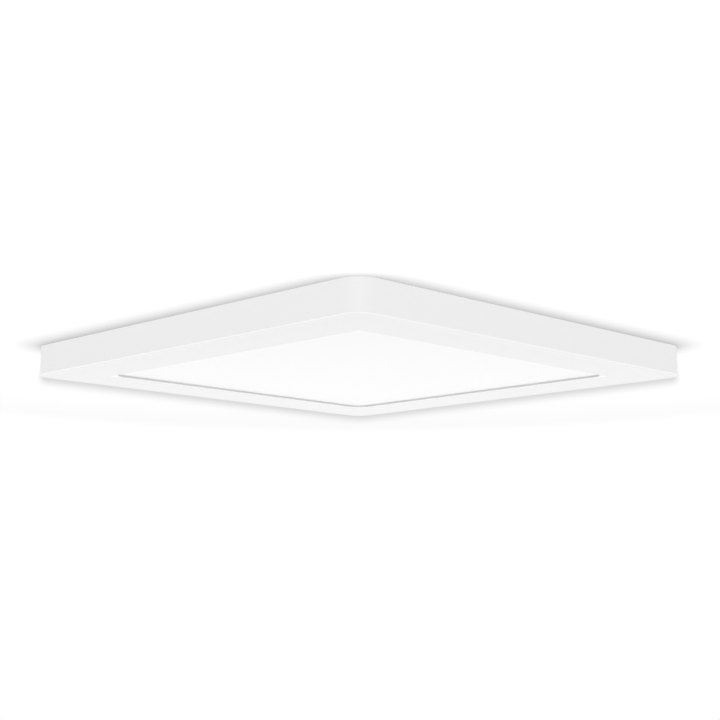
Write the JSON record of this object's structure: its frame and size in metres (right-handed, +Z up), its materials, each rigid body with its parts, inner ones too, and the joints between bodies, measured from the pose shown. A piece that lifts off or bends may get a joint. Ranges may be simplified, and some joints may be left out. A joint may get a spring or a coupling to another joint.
{
  "type": "flush mount ceiling light",
  "caption": "Slim square edge-lit ceiling light: white trim frame with a set-back opal diffuser, drawn back cover, driver, and a ceiling box bracket held by spring clips.",
  "frame": {"origin": "centre of the mounting bracket's top face, on the ceiling plane", "axes": "+Z up into the ceiling; the light hangs below; +X and +Y along the sides of the square frame; the driver and the terminal block are on the -Y side"},
  "size_m": [0.305, 0.305, 0.0195],
  "materials": {
    "white_trim": "satin white moulded plastic",
    "opal_diffuser": "opal acrylic, fine satin face",
    "coated_steel": "white coated sheet steel",
    "galvanised_steel": "galvanised pressed steel",
    "zinc_steel": "zinc plated",
    "spring_steel": "bare spring steel strip",
    "green_screw": "green passivated steel",
    "aluminium_rail": "extruded, mill finish",
    "white_laminate": "white solder mask",
    "phosphor": "yellow phosphor in a white package",
    "clear_acrylic": "clear acrylic sheet",
    "white_film": "matt white film",
    "grey_foam": "closed cell foam",
    "black_plastic": "moulded",
    "green_laminate": "solder mask on glass laminate",
    "insulating_paper": "vulcanised fibre sheet",
    "red_component": "dipped",
    "black_component": "moulded",
    "blue_component": "dipped",
    "ceramic_body": "glazed",
    "white_nylon": "moulded nylon",
    "ferrite": "sintered ferrite",
    "yellow_tape": "polyester tape over enamelled wire",
    "terminal_plastic": "moulded polyamide, light grey",
    "tinned_brass": "tinned",
    "orange_plastic": "moulded",
    "black_rubber": "moulded",
    "lead_insulation": "extruded insulation"
  },
  "bodies": {
    "bracket": {"mounting_bracket": "galvanised_steel", "ground_screw": "green_screw"},
    "luminaire": {"trim_frame": "white_trim", "diffuser": "opal_diffuser", "light_guide": "clear_acrylic", "reflector_sheet": "white_film", "foam_pads": "grey_foam", "back_cover": "coated_steel", "cover_screws": "zinc_steel", "driver_screws": "zinc_steel", "rail_screws": "zinc_steel", "rivets": "zinc_steel", "spring_clip_right": "spring_steel", "spring_clip_left": "spring_steel", "driver_tray": "black_plastic", "driver_board": "green_laminate", "insulator_sheet": "insulating_paper", "film_capacitor": "red_component", "bridge_rectifier": "black_component", "control_chip": "black_component", "input_connector": "white_nylon", "output_connector": "white_nylon", "fuse": "ceramic_body", "varistor": "blue_component", "bulk_capacitors": "black_component", "filter_choke": "ferrite", "transformer_core": "ferrite", "transformer_winding": "yellow_tape", "selector_body": "black_component", "terminal_block": "terminal_plastic", "terminal_contacts": "tinned_brass", "grommets": "black_rubber", "mains_leads": "lead_insulation", "led_leads": "lead_insulation", "corner_links": "lead_insulation", "led_board_front": "white_laminate", "led_packages_front": "phosphor", "heat_rail_front": "aluminium_rail", "led_board_right": "white_laminate", "led_packages_right": "phosphor", "heat_rail_right": "aluminium_rail", "led_board_back": "white_laminate", "led_packages_back": "phosphor", "heat_rail_back": "aluminium_rail", "led_board_left": "white_laminate", "led_packages_left": "phosphor", "heat_rail_left": "aluminium_rail"},
    "selector_knob": {"selector_knob": "white_nylon"},
    "release_button_1": {"release_button_1": "orange_plastic"},
    "release_button_2": {"release_button_2": "orange_plastic"},
    "release_button_3": {"release_button_3": "orange_plastic"}
  },
  "joints": [
    {"name": "luminaire_release", "type": "slide", "parent": "bracket", "child": "luminaire", "axis": [0, 0, -1], "range_m": [0, 0.06]},
    {"name": "selector_slide", "type": "slide", "parent": "luminaire", "child": "selector_knob", "axis": [1, 0, 0], "range_m": [-0.0022, 0.0022]},
    {"name": "release_press_1", "type": "slide", "parent": "luminaire", "child": "release_button_1", "axis": [0, 0, -1], "range_m": [0, 0.0009], "stiffness_N_per_m": 2500, "springref_m": -0.0004},
    {"name": "release_press_2", "type": "slide", "parent": "luminaire", "child": "release_button_2", "axis": [0, 0, -1], "range_m": [0, 0.0009], "stiffness_N_per_m": 2500, "springref_m": -0.0004},
    {"name": "release_press_3", "type": "slide", "parent": "luminaire", "child": "release_button_3", "axis": [0, 0, -1], "range_m": [0, 0.0009], "stiffness_N_per_m": 2500, "springref_m": -0.0004}
  ]
}
